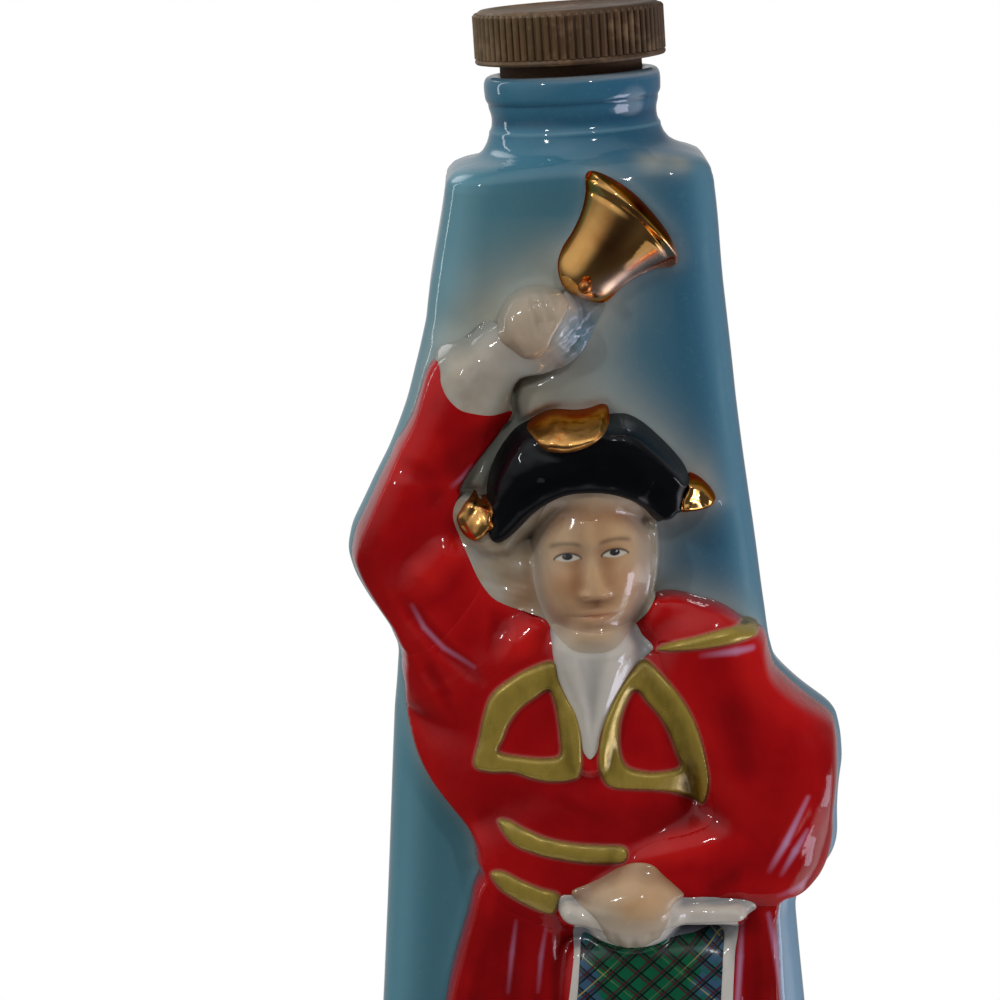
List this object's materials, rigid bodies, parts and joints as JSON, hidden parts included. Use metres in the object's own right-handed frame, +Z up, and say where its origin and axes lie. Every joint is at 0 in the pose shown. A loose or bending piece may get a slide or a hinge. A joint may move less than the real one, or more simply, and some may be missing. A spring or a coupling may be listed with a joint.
{
  "type": "figural liquor decanter",
  "caption": "Tall hollow ceramic decanter with a relief of a bell ringer in a red coat on its front, a tapered cork and a fluted cap.",
  "frame": {"origin": "middle of the foot the decanter stands on", "axes": "+Z up through the neck, the relief faces -Y, +X to the viewer's right"},
  "size_m": [0.1022, 0.0744, 0.2971],
  "materials": {
    "blue_glaze": "gloss",
    "red_glaze": "gloss",
    "flesh_glaze": "gloss",
    "white_glaze": "gloss",
    "black_glaze": "gloss",
    "gold_lustre": "gloss",
    "olive_gold": "gloss",
    "cream_glaze": "gloss",
    "plaid_transfer": "gloss",
    "cap_wood": "satin",
    "cork_bark": "matte"
  },
  "bodies": {
    "decanter": {"bottle": "blue_glaze", "raised_sleeve": "red_glaze", "folded_sleeve": "red_glaze", "coat_body": "red_glaze", "coat_collar": "red_glaze", "skirt_left": "red_glaze", "skirt_right": "red_glaze", "raised_hand": "flesh_glaze", "scroll_hand": "flesh_glaze", "face": "flesh_glaze", "wrist_lace": "white_glaze", "wig_left": "white_glaze", "wig_right": "white_glaze", "neckcloth": "white_glaze", "scroll_roller": "white_glaze", "scroll_sheet": "white_glaze", "plaid_label": "plaid_transfer", "hat": "black_glaze", "hat_rosette": "gold_lustre", "hat_cockade": "gold_lustre", "hat_tip": "gold_lustre", "bell": "gold_lustre", "bell_button": "gold_lustre", "lapel_left": "olive_gold", "lapel_right": "olive_gold", "shoulder_braid": "olive_gold", "braid_upper": "olive_gold", "braid_lower": "olive_gold", "breeches": "cream_glaze", "stocking_left": "white_glaze", "stocking_right": "white_glaze", "shoe_left": "black_glaze", "shoe_right": "black_glaze", "buckle_left": "gold_lustre", "buckle_right": "gold_lustre"},
    "stopper": {"cork": "cork_bark", "cap": "cap_wood"}
  },
  "joints": [
    {"name": "stopper_lift", "type": "slide", "parent": "decanter", "child": "stopper", "axis": [-0.0384, 0, 0.9993], "range_m": [0, 0.06]}
  ]
}
